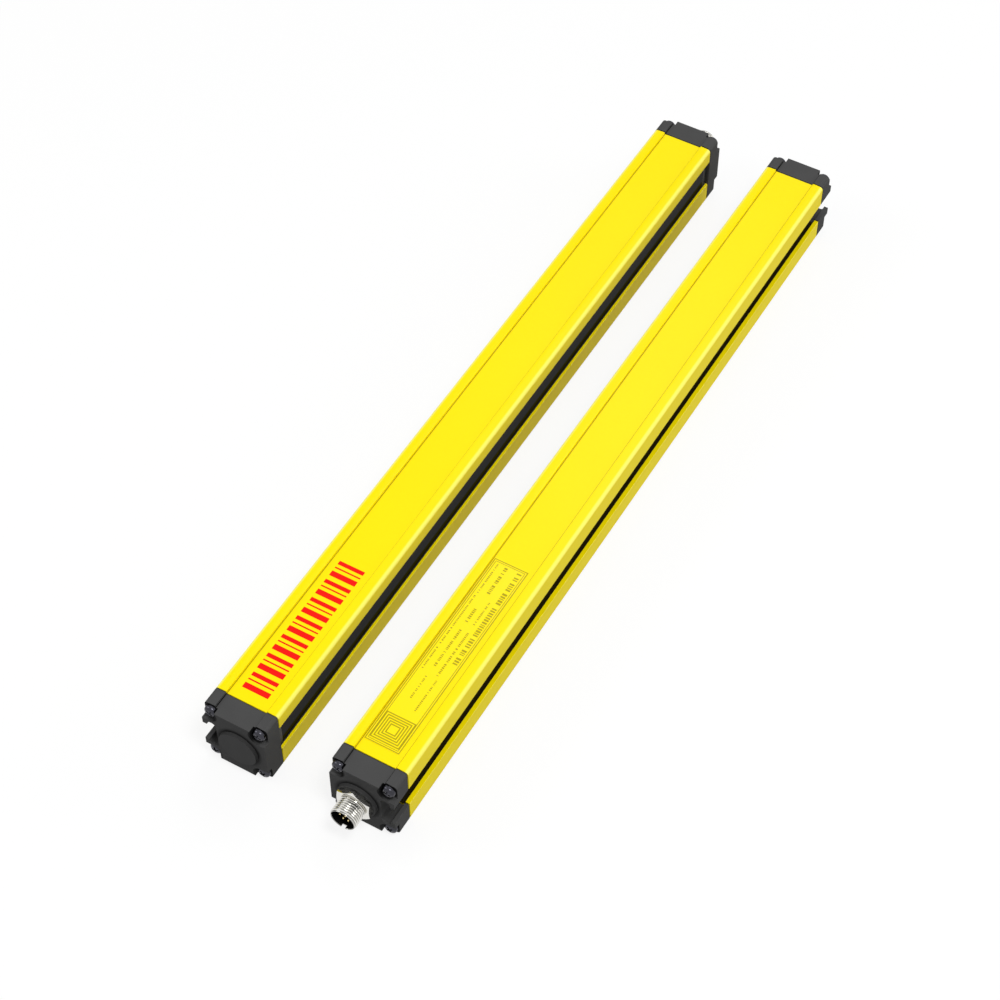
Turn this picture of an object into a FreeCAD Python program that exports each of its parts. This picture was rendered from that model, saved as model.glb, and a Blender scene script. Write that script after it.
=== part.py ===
import FreeCAD, Part
import math
import os

import Sketcher
from FreeCAD import Placement, Rotation, Vector

# Safety light curtain: a sender bar and a receiver bar that lie side by side.
# Both bars are one design. Each is drawn in its own axes: X runs from the slotted
# back (0) to the window side, Y from the plain end of the extrusion (0) to the
# connector end, Z up from the underside. The receiver is the same bar turned half
# a turn about Z, so the two windows face each other.
# +Z is up, and the origin lies under the middle of the pair.

SIZES = [
    # the pair
    ("pair_gap", 28.0, "clear space between the two window sides"),
    ("pair_stagger", 3.5, "how far one bar lies ahead of the other"),
    # aluminium extrusion
    ("housing_length", 377.0, "extrusion, end to end"),
    ("section_width", 30.0, "back to window side"),
    ("section_height", 34.0, "underside to top"),
    ("edge_radius", 2.0, "long outer edges"),
    ("strip_width", 5.2, "flat strip beside each label channel"),
    ("channel_depth", 1.0, "label channel in top and underside"),
    ("channel_wall", 1.8, "wall under a label channel"),
    ("mouth_height", 11.0, "mounting slot, opening in the back"),
    ("slot_lip", 2.0, "lips of the mounting slot"),
    ("slot_height", 16.0, "mounting slot behind its lips"),
    ("slot_depth", 6.5, "back face to floor of the mounting slot"),
    ("slot_corner", 2.0, "inner corners of the mounting slot"),
    ("slot_wall", 1.5, "wall behind the mounting slot"),
    ("window_height", 14.6, "window opening between its lips"),
    ("window_raise", 1.8, "window centre above mid-height"),
    ("bezel_lip", 1.2, "lips in front of the window pane"),
    ("seal_thickness", 0.4, "soft strip between lip and pane"),
    ("seal_reach", 0.3, "soft strip showing past its lip"),
    ("pane_thickness", 2.0, "window pane"),
    ("pane_overlap", 1.3, "pane edge held behind a lip"),
    ("pane_rest", 1.0, "rib that backs the pane"),
    ("end_seal", 3.0, "soft block at each end of the pane"),
    ("corner_mass", 7.2, "solid corner beside the window"),
    ("slide_gap", 0.1, "clearance of strips slid into the extrusion"),
    ("port_side", 3.5, "screw axis from back or window side"),
    ("port_edge", 3.7, "screw axis from top or underside"),
    # end caps and their gaskets
    ("gasket_thickness", 0.5, "gasket between cap and extrusion"),
    ("gasket_inset", 0.6, "gasket edge inside the outline"),
    ("cap_length", 10.5, "moulded end cap"),
    ("cap_wall", 3.0, "end wall of a cap"),
    ("cap_side", 1.9, "wall of a cap beside its hollow"),
    ("pocket_depth", 3.0, "screw pocket, from the end face"),
    ("pocket_width", 6.6, "screw pocket, from the side face"),
    ("pocket_height", 7.8, "screw pocket, from top or underside"),
    ("pocket_corner", 3.2, "rounded inner corner of a screw pocket"),
    ("boss_shift", 2.0, "round boss off the middle, to the window side"),
    ("boss_radius", 9.0, "round boss on the end face"),
    ("boss_height", 1.5, "round boss above the end face"),
    ("spigot_length", 3.0, "collar that plugs into the extrusion"),
    ("spigot_gap", 0.2, "clearance round the collar"),
    ("spigot_wall", 1.5, "wall of the collar"),
    # cap screws, pan head
    ("screw_radius", 1.45, "shank"),
    ("screw_length", 14.0, "under the head"),
    ("screw_fit", 0.05, "shank to its port in the extrusion"),
    ("screw_clearance", 0.15, "shank to its hole in the cap"),
    ("head_radius", 2.9, "pan head"),
    ("head_height", 2.4, "pan head"),
    ("head_crown", 0.9, "rounded part of the head's height"),
    # round connector, 12 mm thread
    ("seal_width", 14.2, "flat seal under the flange, across flats"),
    ("flat_seal", 0.5, "flat seal, thickness"),
    ("flange_width", 15.0, "hexagon flange across flats"),
    ("flange_height", 2.0, "hexagon flange"),
    ("thread_radius", 6.0, "outer thread, over its crests"),
    ("thread_length", 7.5, "outer thread"),
    ("socket_radius", 5.2, "inside the threaded collar"),
    ("socket_depth", 8.0, "rim to contact carrier"),
    ("key_width", 1.9, "coding notch in the rim"),
    ("key_depth", 1.5, "coding notch in the rim"),
    ("neck_radius", 5.4, "neck through the cap wall"),
    ("neck_length", 8.5, "neck behind the flange seal"),
    ("neck_gap", 0.1, "neck to cap, ring and nut"),
    ("carrier_radius", 4.4, "contact carrier inside the neck"),
    ("nut_width", 14.0, "lock nut across flats"),
    ("nut_thickness", 2.5, "lock nut"),
    ("pin_radius", 0.5, "contact pin"),
    ("pin_circle", 2.75, "contact pins, radius of their ring"),
    ("pin_reach", 6.0, "contact pin in front of its carrier"),
    ("pin_fit", 0.02, "contact pin to its hole"),
    # boards and optics
    ("round_board_size", 14.0, "connector board, square"),
    ("round_board_gap", 1.0, "connector carrier to its board"),
    ("round_board_thickness", 1.2, "connector board"),
    ("board_thickness", 1.6, "main board"),
    ("board_setback", 2.4, "slot wall to main board"),
    ("board_groove", 0.8, "main board edge held in the extrusion"),
    ("board_end", 3.5, "main board short of each extrusion end"),
    ("link_length", 6.0, "plug strip lying on the main board"),
    ("link_width", 10.0, "plug strip"),
    ("link_thickness", 3.0, "plug strip"),
    ("first_beam", 18.0, "first beam from the plain end"),
    ("beam_pitch", 40.0, "beam to beam"),
    ("dead_end", 30.0, "no beams this near the connector end"),
    ("optic_margin", 11.0, "optics strips past their end beams"),
    ("lens_gap", 0.4, "front of the lenses to the window pane"),
    ("throat_size", 4.6, "light pipe at the board, square"),
    ("mouth_size", 12.0, "light pipe at the lenses, square"),
    ("lens_plate", 2.0, "lens strip"),
    ("lens_size", 14.0, "lens, square"),
    ("lens_crown", 2.0, "top of a lens in front of its strip"),
    ("lens_curve", 20.0, "radius of a lens's round front"),
    ("diode_size", 3.0, "light source or photodiode, square"),
    ("diode_height", 1.2, "light source or photodiode"),
    ("chip_length", 9.0, "control chip"),
    ("chip_width", 7.0, "control chip"),
    ("chip_height", 1.2, "control chip"),
    ("chip_pitch", 52.0, "control chip to control chip"),
    ("pipe_size", 3.0, "status light pipe, square"),
    ("pipe_setback", 13.0, "nearest status light from the extrusion end"),
    ("pipe_pitch", 5.0, "status light to status light"),
    # rating label of the receiver
    ("label_width", 16.4, "label film, across"),
    ("label_length", 103.0, "label film, along"),
    ("label_setback", 5.8, "label film from the connector end"),
    ("label_shift", 0.9, "label film off the middle, to the window side"),
    ("label_thickness", 0.15, "label film"),
]
EMITTER_PIN_COUNT = 5
RECEIVER_PIN_COUNT = 8
STATUS_LIGHTS = 2
SMALL_FLAT_COUNT = 8  # flats of screw ports, shanks, pins and their holes
HEAD_FLAT_COUNT = 12  # flats of a screw head
NUT_FLAT_COUNT = 6  # flats of a flange, its seal and the lock nut
HEAD_TAPER = 45  # degrees, of the top of a screw head
PAST = "1"  # how far a cut runs past the face it starts from

doc = FreeCAD.newDocument("light_curtain")
sheet = doc.addObject("Spreadsheet::Sheet", "Sizes")
for row, (alias, value, meaning) in enumerate(SIZES, start=1):
    sheet.set(f"A{row}", meaning)
    sheet.set(f"B{row}", str(value))
    sheet.setAlias(f"B{row}", alias)
doc.recompute()


def cell(*aliases):
    """Expression that adds up the named cells; a leading minus subtracts one."""
    terms = [f"- Sizes.{a[1:]}" if a.startswith("-") else f"+ Sizes.{a}" for a in aliases]
    return "(" + " ".join(terms).removeprefix("+ ") + ")"


def number(expression):
    """Present value of an expression."""
    result = probe.evalExpression(expression)
    return float(getattr(result, "Value", result))


probe = doc.addObject("App::FeaturePython", "Probe")

# Places that several pieces share, as expressions.
WIDTH = cell("section_width")
HEIGHT = cell("section_height")
LENGTH = cell("housing_length")
MID_HEIGHT = f"({HEIGHT} / 2)"
CHANNEL_TOP = f"({HEIGHT} - {cell('channel_depth')})"
WINDOW_MID = f"({MID_HEIGHT} + {cell('window_raise')})"
WINDOW_LOW = f"({WINDOW_MID} - {cell('window_height')} / 2)"
WINDOW_HIGH = f"({WINDOW_MID} + {cell('window_height')} / 2)"
GROOVE_LOW = f"({WINDOW_LOW} - {cell('pane_overlap')})"
GROOVE_HIGH = f"({WINDOW_HIGH} + {cell('pane_overlap')})"
LIP_BACK = f"({WIDTH} - {cell('bezel_lip')})"
PANE_FRONT = f"({LIP_BACK} - {cell('seal_thickness')})"
PANE_BACK = f"({PANE_FRONT} - {cell('pane_thickness')})"
REST_FRONT = f"({PANE_BACK} - {cell('slide_gap')})"
REST_BACK = f"({REST_FRONT} - {cell('pane_rest')})"
CHAMBER_BACK = f"({cell('slot_depth', 'slot_wall')})"
CHAMBER_FRONT = f"({WIDTH} - {cell('corner_mass')})"
CHAMBER_LOW = f"({cell('channel_depth', 'channel_wall')})"
CHAMBER_HIGH = f"({HEIGHT} - {CHAMBER_LOW})"
BOARD_BACK = f"({CHAMBER_BACK} + {cell('board_setback')})"
BOARD_FRONT = f"({BOARD_BACK} + {cell('board_thickness')})"
PORT_WIDTH = f"(2 * {cell('screw_radius', 'screw_fit')})"
SCREW_HOLE_WIDTH = f"(2 * {cell('screw_radius', 'screw_clearance')})"
PIN_HOLE_WIDTH = f"(2 * {cell('pin_radius', 'pin_fit')})"
BOSS_X = f"({WIDTH} / 2 + {cell('boss_shift')})"
CAP_OUT = cell("gasket_thickness", "cap_length")
BOSS_OUT = cell("gasket_thickness", "cap_length", "boss_height")
POCKET_OUT = f"({CAP_OUT} - {cell('pocket_depth')})"
FLANGE_BACK = f"({BOSS_OUT} + {cell('flat_seal')})"
FLANGE_FRONT = f"({FLANGE_BACK} + {cell('flange_height')})"
RIM = f"({FLANGE_FRONT} + {cell('thread_length')})"
CARRIER_FRONT = f"({RIM} - {cell('socket_depth')})"
NECK_BACK = f"({BOSS_OUT} - {cell('neck_length')})"
NUT_FRONT = f"({CAP_OUT} - {cell('cap_wall')})"

# The two bars: +1 lies as drawn, -1 is turned half a turn about Z.
TURN = {"emitter": 1, "receiver": -1}
# The two ends of a bar: where the extrusion stops, and which way is outward.
PLAIN_END = ("0", -1)
CONNECTOR_END = (LENGTH, 1)

pieces = []


def end_y(end, distance):
    """Y of a plane the given distance outside one end of the extrusion."""
    base, outward = end
    return f"({base} {'+' if outward > 0 else '-'} {distance})"


def seat(piece, unit, node, x="0", y="0", z="0"):
    """Name a finished piece and put it in its bar, from the bar's own X, Y and Z."""
    turn = TURN[unit]
    piece.Label = f"{unit}_{node}"
    piece.Placement = Placement(Vector(), Rotation(Vector(0, 0, 1), 90 * (1 - turn)))
    piece.setExpression(".Placement.Base.x", f"{turn} * ({x} - {WIDTH} - {cell('pair_gap')} / 2)")
    piece.setExpression(
        ".Placement.Base.y", f"{turn} * ({y} - ({LENGTH} + {cell('pair_stagger')}) / 2)"
    )
    piece.setExpression(".Placement.Base.z", z)
    pieces.append(piece)


# ---- sketches and features -------------------------------------------------


def new_body():
    return doc.addObject("PartDesign::Body", "Body")


def section_sketch(body, y="0"):
    """Empty sketch across the bar, at the given Y; its axes are the bar's X and Z."""
    sketch = body.newObject("Sketcher::SketchObject", "Section")
    plane = next(f for f in body.Origin.OriginFeatures if f.Role == "XZ_Plane")
    sketch.AttachmentSupport = (plane, "")
    sketch.MapMode = "FlatFace"
    sketch.setExpression(".AttachmentOffset.Base.z", f"-({y})")
    return sketch


def bind(sketch, kind, geometry, point, expression):
    """Dimension from the sketch origin to a point, or of a radius, held by an expression."""
    where = (geometry,) if kind == "Radius" else (-1, 1, geometry, point)
    index = sketch.addConstraint(Sketcher.Constraint(kind, *where, number(expression)))
    name = f"size{index}"
    sketch.renameConstraint(index, name)
    sketch.setExpression(f"Constraints.{name}", expression)


def circle(sketch, x, z, radius):
    ring = Part.Circle(Vector(number(x), number(z), 0), Vector(0, 0, 1), number(radius))
    index = sketch.addGeometry(ring, False)
    bind(sketch, "DistanceX", index, 3, x)
    bind(sketch, "DistanceY", index, 3, z)
    bind(sketch, "Radius", index, 0, radius)


def rectangle(sketch, left, right, low, high):
    xs, zs = (number(left), number(right)), (number(low), number(high))
    corners = [Vector(xs[0], zs[0], 0), Vector(xs[1], zs[0], 0)]
    corners += [Vector(xs[1], zs[1], 0), Vector(xs[0], zs[1], 0)]
    sides = [
        sketch.addGeometry(Part.LineSegment(start, end), False)
        for start, end in zip(corners, corners[1:] + corners[:1])
    ]
    for side, following in zip(sides, sides[1:] + sides[:1]):
        sketch.addConstraint(Sketcher.Constraint("Coincident", side, 2, following, 1))
    for side, direction in zip(sides, ("Horizontal", "Vertical") * 2):
        sketch.addConstraint(Sketcher.Constraint(direction, side))
    bind(sketch, "DistanceX", sides[0], 1, left)
    bind(sketch, "DistanceX", sides[1], 1, right)
    bind(sketch, "DistanceY", sides[0], 1, low)
    bind(sketch, "DistanceY", sides[2], 1, high)


def rounded_rectangle(sketch, left, right, low, high, radius):
    """Rectangle with four equal round corners: sides and arcs run on, tangent."""
    x0, x1, z0, z1, r = (number(e) for e in (left, right, low, high, radius))
    runs = [
        (Vector(x0 + r, z0, 0), Vector(x1 - r, z0, 0), Vector(x1 - r, z0 + r, 0), -90),
        (Vector(x1, z0 + r, 0), Vector(x1, z1 - r, 0), Vector(x1 - r, z1 - r, 0), 0),
        (Vector(x1 - r, z1, 0), Vector(x0 + r, z1, 0), Vector(x0 + r, z1 - r, 0), 90),
        (Vector(x0, z1 - r, 0), Vector(x0, z0 + r, 0), Vector(x0 + r, z0 + r, 0), 180),
    ]
    sides, arcs = [], []
    for start, end, centre, angle in runs:
        sides.append(sketch.addGeometry(Part.LineSegment(start, end), False))
        ring = Part.Circle(centre, Vector(0, 0, 1), r)
        arc = Part.ArcOfCircle(ring, math.radians(angle), math.radians(angle + 90))
        arcs.append(sketch.addGeometry(arc, False))
    for side, arc, following in zip(sides, arcs, sides[1:] + sides[:1]):
        sketch.addConstraint(Sketcher.Constraint("Tangent", side, 2, arc, 1))
        sketch.addConstraint(Sketcher.Constraint("Tangent", arc, 2, following, 1))
    for arc in arcs[1:]:
        sketch.addConstraint(Sketcher.Constraint("Equal", arcs[0], arc))
    for side, direction in zip(sides, ("Horizontal", "Vertical") * 2):
        sketch.addConstraint(Sketcher.Constraint(direction, side))
    bind(sketch, "DistanceY", sides[0], 1, low)
    bind(sketch, "DistanceX", sides[1], 1, right)
    bind(sketch, "DistanceY", sides[2], 1, high)
    bind(sketch, "DistanceX", sides[3], 1, left)
    bind(sketch, "Radius", arcs[0], 0, radius)


def polygon(sketch, x, z, across_flats, flats):
    """Regular polygon with its top flat level, held by its corner radius."""
    middle = Vector(number(x), number(z), 0)
    corner_radius = f"{across_flats} / (2 * cos(180 / {flats}))"
    radius = number(corner_radius)
    angles = [math.radians(90 + 360 / flats * (index - 0.5)) for index in range(flats)]
    corners = [middle + radius * Vector(math.cos(a), math.sin(a), 0) for a in angles]
    ring = sketch.addGeometry(Part.Circle(middle, Vector(0, 0, 1), radius), True)
    sides = [
        sketch.addGeometry(Part.LineSegment(start, end), False)
        for start, end in zip(corners, corners[1:] + corners[:1])
    ]
    for side, following in zip(sides, sides[1:] + sides[:1]):
        sketch.addConstraint(Sketcher.Constraint("Coincident", side, 2, following, 1))
        sketch.addConstraint(Sketcher.Constraint("PointOnObject", side, 1, ring))
    for side in sides[1:]:
        sketch.addConstraint(Sketcher.Constraint("Equal", sides[0], side))
    sketch.addConstraint(Sketcher.Constraint("Horizontal", sides[0]))
    bind(sketch, "DistanceX", ring, 3, x)
    bind(sketch, "DistanceY", ring, 3, z)
    bind(sketch, "Radius", ring, 0, corner_radius)


def pad(body, sketch, length, toward):
    """Grow a section along Y, toward +1 or -1."""
    feature = body.newObject("PartDesign::Pad", "Pad")
    feature.Profile = sketch
    feature.Reversed = toward > 0
    feature.setExpression("Length", length)
    doc.recompute()
    return feature


def pocket(body, sketch, length, toward):
    """Cut a section along Y, toward +1 or -1; a cut that removes nothing is an error."""
    before = body.Shape.Volume
    feature = body.newObject("PartDesign::Pocket", "Pocket")
    feature.Profile = sketch
    feature.Reversed = toward < 0
    feature.setExpression("Length", length)
    doc.recompute()
    if body.Shape.Volume >= before:
        raise RuntimeError(f"{body.Name}: a cut removes nothing")
    return feature


def corner_places():
    """The four screw axes, in the section."""
    xs = (cell("port_side"), f"({WIDTH} - {cell('port_side')})")
    zs = (cell("port_edge"), f"({HEIGHT} - {cell('port_edge')})")
    return [(x, z) for x in xs for z in zs]


def cut_outer_profile(body, y, length, toward):
    """The mounting slot in the back and the label channels, as every section has them."""
    mouth = section_sketch(body, y)
    half_mouth = f"{cell('mouth_height')} / 2"
    rectangle(
        mouth, f"-{PAST}", cell("slot_lip", "slot_corner"),
        f"{MID_HEIGHT} - {half_mouth}", f"{MID_HEIGHT} + {half_mouth}",
    )
    pocket(body, mouth, length, toward)
    slot = section_sketch(body, y)
    half_slot = f"{cell('slot_height')} / 2"
    rounded_rectangle(
        slot, cell("slot_lip"), cell("slot_depth"),
        f"{MID_HEIGHT} - {half_slot}", f"{MID_HEIGHT} + {half_slot}", cell("slot_corner"),
    )
    pocket(body, slot, length, toward)
    channels = section_sketch(body, y)
    right = f"({WIDTH} - {cell('strip_width')})"
    left = cell("strip_width")
    rectangle(channels, left, right, f"-{PAST}", cell("channel_depth"))
    rectangle(channels, left, right, CHANNEL_TOP, f"{HEIGHT} + {PAST}")
    pocket(body, channels, length, toward)


def box(x, y, z, length_x, length_y, length_z):
    """Part box in the bar's axes; all six values are expressions."""
    solid = doc.addObject("Part::Box", "Box")
    for name, expression in zip(("Length", "Width", "Height"), (length_x, length_y, length_z)):
        solid.setExpression(name, expression)
    for axis, expression in zip("xyz", (x, y, z)):
        solid.setExpression(f".Placement.Base.{axis}", expression)
    return solid


def seat_box(unit, node, x, y, z, length_x, length_y, length_z):
    """Plain box that is a piece by itself."""
    solid = box("0", "0", "0", length_x, length_y, length_z)
    seat(solid, unit, node, x, y, z)


def funnel(x, y, z, depth, throat, mouth):
    """Square funnel that widens along X, from x; all six values are expressions."""
    solid = doc.addObject("Part::Wedge", "Funnel")
    for name, expression in (("Ymin", "0"), ("Ymax", depth)):
        solid.setExpression(name, expression)
    for ends, across in (("", throat), ("2", mouth)):
        for axis in "XZ":
            solid.setExpression(f"{axis}{ends}min", f"-{across} / 2")
            solid.setExpression(f"{axis}{ends}max", f"{across} / 2")
    solid.Placement = Placement(Vector(), Rotation(Vector(0, 0, 1), -90))
    for axis, expression in zip("xyz", (x, y, z)):
        solid.setExpression(f".Placement.Base.{axis}", expression)
    return solid


def group(unit, node, solids):
    """Like solids that share one node."""
    compound = doc.addObject("Part::Compound", "Group")
    compound.Links = solids
    seat(compound, unit, node)


# ---- extrusion, window and its seals ---------------------------------------


def make_housing(unit):
    """Extruded aluminium: slotted back, label channels, window lips, screw ports."""
    body = new_body()
    outline = section_sketch(body)
    rounded_rectangle(outline, "0", WIDTH, "0", HEIGHT, cell("edge_radius"))
    pad(body, outline, LENGTH, 1)
    cut_outer_profile(body, "0", LENGTH, 1)
    chamber = section_sketch(body)
    rectangle(chamber, CHAMBER_BACK, CHAMBER_FRONT, CHAMBER_LOW, CHAMBER_HIGH)
    pocket(body, chamber, LENGTH, 1)
    grooves = section_sketch(body)
    groove = cell("board_groove")
    rectangle(
        grooves, f"{BOARD_BACK} - {cell('slide_gap')}", f"{BOARD_FRONT} + {cell('slide_gap')}",
        f"{CHAMBER_LOW} - {groove}", f"{CHAMBER_HIGH} + {groove}",
    )
    pocket(body, grooves, LENGTH, 1)
    lens_bay = section_sketch(body)
    rectangle(lens_bay, f"{CHAMBER_FRONT} - {PAST}", REST_BACK, GROOVE_LOW, GROOVE_HIGH)
    pocket(body, lens_bay, LENGTH, 1)
    opening = section_sketch(body)
    rectangle(opening, f"{REST_BACK} - {PAST}", f"{WIDTH} + {PAST}", WINDOW_LOW, WINDOW_HIGH)
    pocket(body, opening, LENGTH, 1)
    pane_groove = section_sketch(body)
    rectangle(pane_groove, REST_FRONT, LIP_BACK, GROOVE_LOW, GROOVE_HIGH)
    pocket(body, pane_groove, LENGTH, 1)
    ports = section_sketch(body)
    for x, z in corner_places():
        polygon(ports, x, z, PORT_WIDTH, SMALL_FLAT_COUNT)
    pocket(body, ports, LENGTH, 1)
    seat(body, unit, "housing")


def make_window(unit):
    """Dark pane slid in behind the lips, a soft block at each end, a soft strip along each lip."""
    gap = cell("slide_gap")
    low = f"({GROOVE_LOW} + {gap})"
    height = f"({GROOVE_HIGH} - {GROOVE_LOW} - 2 * {gap})"
    thickness, block = cell("pane_thickness"), cell("end_seal")
    pane = f"({LENGTH} - 2 * {block})"
    seat_box(unit, "front_window", PANE_BACK, block, low, thickness, pane, height)
    blocks = [
        box(PANE_BACK, start, low, thickness, block, height) for start in ("0", f"({LENGTH} - {block})")
    ]
    group(unit, "window_end_seals", blocks)
    reach = f"({cell('pane_overlap', 'seal_reach')} - {gap})"
    strips = [
        box(PANE_FRONT, "0", start, cell("seal_thickness"), LENGTH, reach)
        for start in (low, f"({GROOVE_HIGH} - {gap} - {reach})")
    ]
    group(unit, "window_seals", strips)


# ---- end caps, gaskets and screws ------------------------------------------


def make_cap(unit, end, node, bored):
    """Moulded cap: the extrusion's outline, four screw pockets, a boss and a collar."""
    outward = end[1]
    body = new_body()
    inner = end_y(end, cell("gasket_thickness"))
    outer = end_y(end, CAP_OUT)
    outline = section_sketch(body, inner)
    rounded_rectangle(outline, "0", WIDTH, "0", HEIGHT, cell("edge_radius"))
    pad(body, outline, cell("cap_length"), outward)
    boss = section_sketch(body, outer)
    circle(boss, BOSS_X, MID_HEIGHT, cell("boss_radius"))
    pad(body, boss, cell("boss_height"), outward)
    cut_outer_profile(body, inner, cell("cap_length"), outward)

    pockets = section_sketch(body, outer)
    deep, tall = cell("pocket_width"), cell("pocket_height")
    open_side = f"2 * {cell('pocket_corner')}"
    for left, right in ((f"-{open_side}", deep), (f"({WIDTH} - {deep})", f"({WIDTH} + {open_side})")):
        for low, high in ((f"-{open_side}", tall), (f"({HEIGHT} - {tall})", f"({HEIGHT} + {open_side})")):
            rounded_rectangle(pockets, left, right, low, high, cell("pocket_corner"))
    pocket(body, pockets, cell("pocket_depth"), -outward)
    holes = section_sketch(body, inner)
    for x, z in corner_places():
        polygon(holes, x, z, SCREW_HOLE_WIDTH, SMALL_FLAT_COUNT)
    pocket(body, holes, cell("cap_length"), outward)

    hollow = section_sketch(body, inner)
    side = cell("cap_side")
    rectangle(
        hollow, f"({cell('slot_depth')} + {side})", f"({WIDTH} - {cell('pocket_width')} + {side})",
        f"({cell('pocket_height')} + {side} / 2)", f"({HEIGHT} - {cell('pocket_height')} - {side} / 2)",
    )
    pocket(body, hollow, f"{cell('cap_length')} - {cell('cap_wall')}", outward)

    gap, wall = cell("spigot_gap"), cell("spigot_wall")
    sides = (
        f"{CHAMBER_BACK} + {gap}", f"{CHAMBER_FRONT} - {gap}",
        f"{CHAMBER_LOW} + {gap}", f"{CHAMBER_HIGH} - {gap}",
    )
    collar = section_sketch(body, inner)
    rectangle(collar, *sides)
    rectangle(collar, *(f"{s} {sign} {wall}" for s, sign in zip(sides, "+-+-")))
    pad(body, collar, cell("spigot_length"), -outward)

    if bored:
        bore = section_sketch(body, end_y(end, BOSS_OUT))
        circle(bore, BOSS_X, MID_HEIGHT, cell("neck_radius", "neck_gap"))
        pocket(body, bore, cell("boss_height", "cap_wall"), -outward)
    seat(body, unit, node)


def make_gaskets(unit):
    """Thin rubber sheets between caps and extrusion, open in the middle."""
    gaskets = []
    for base, outward in (PLAIN_END, CONNECTOR_END):
        body = new_body()
        outline = section_sketch(body, base)
        inset, thickness = cell("gasket_inset"), cell("gasket_thickness")
        rectangle(outline, inset, f"{WIDTH} - {inset}", inset, f"{HEIGHT} - {inset}")
        pad(body, outline, thickness, outward)
        notches = section_sketch(body, base)
        left, right = cell("strip_width"), f"({WIDTH} - {cell('strip_width')})"
        rectangle(notches, left, right, "0", cell("channel_depth", "gasket_inset"))
        rectangle(notches, left, right, f"({CHANNEL_TOP} - {inset})", HEIGHT)
        half_slot = f"({cell('slot_height')} / 2 + {inset})"
        rectangle(
            notches, "0", cell("slot_depth", "gasket_inset"),
            f"{MID_HEIGHT} - {half_slot}", f"{MID_HEIGHT} + {half_slot}",
        )
        pocket(body, notches, thickness, outward)
        openings = section_sketch(body, base)
        rectangle(openings, CHAMBER_BACK, CHAMBER_FRONT, CHAMBER_LOW, CHAMBER_HIGH)
        for x, z in corner_places():
            polygon(openings, x, z, SCREW_HOLE_WIDTH, SMALL_FLAT_COUNT)
        pocket(body, openings, thickness, outward)
        gaskets.append(body)
    group(unit, "cap_gaskets", gaskets)


def make_cap_screws(unit):
    """Eight pan-head screws: one is drawn, the others are its mirror images."""
    end = CONNECTOR_END
    x, z = corner_places()[0]
    screw = new_body()
    head_width, crown = f"(2 * {cell('head_radius')})", cell("head_crown")
    head = section_sketch(screw, end_y(end, POCKET_OUT))
    polygon(head, x, z, head_width, HEAD_FLAT_COUNT)
    pad(screw, head, cell("head_height", "-head_crown"), 1)
    top = section_sketch(screw, end_y(end, f"({POCKET_OUT} + {cell('head_height', '-head_crown')})"))
    polygon(top, x, z, head_width, HEAD_FLAT_COUNT)
    rounding = pad(screw, top, crown, 1)
    rounding.TaperAngle = -HEAD_TAPER
    shank = section_sketch(screw, end_y(end, POCKET_OUT))
    polygon(shank, x, z, f"(2 * {cell('screw_radius')})", SMALL_FLAT_COUNT)
    pad(screw, shank, cell("screw_length"), -1)
    screws = [screw]
    for normal, axis, span in (((1, 0, 0), "x", WIDTH), ((0, 0, 1), "z", HEIGHT), ((0, 1, 0), "y", LENGTH)):
        for source in list(screws):
            mirror = doc.addObject("Part::Mirroring", "Mirrored_screw")
            mirror.Source = source
            mirror.Normal = normal
            mirror.setExpression(f"Base.{axis}", f"{span} / 2")
            screws.append(mirror)
    group(unit, "cap_screws", screws)


# ---- connector -------------------------------------------------------------


def pin_places(unit):
    """Pin axes: one in the middle, the others on a ring that leaves room for the key."""
    ring = (EMITTER_PIN_COUNT if unit == "emitter" else RECEIVER_PIN_COUNT) - 1
    circle_ = cell("pin_circle")
    places = [(BOSS_X, MID_HEIGHT)]
    step = 360 / ring
    for index in range(ring):
        angle = -90 + step * (index + 0.5)
        places.append(
            (f"({BOSS_X} + {circle_} * cos({angle}))", f"({MID_HEIGHT} + {circle_} * sin({angle}))")
        )
    return places


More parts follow.
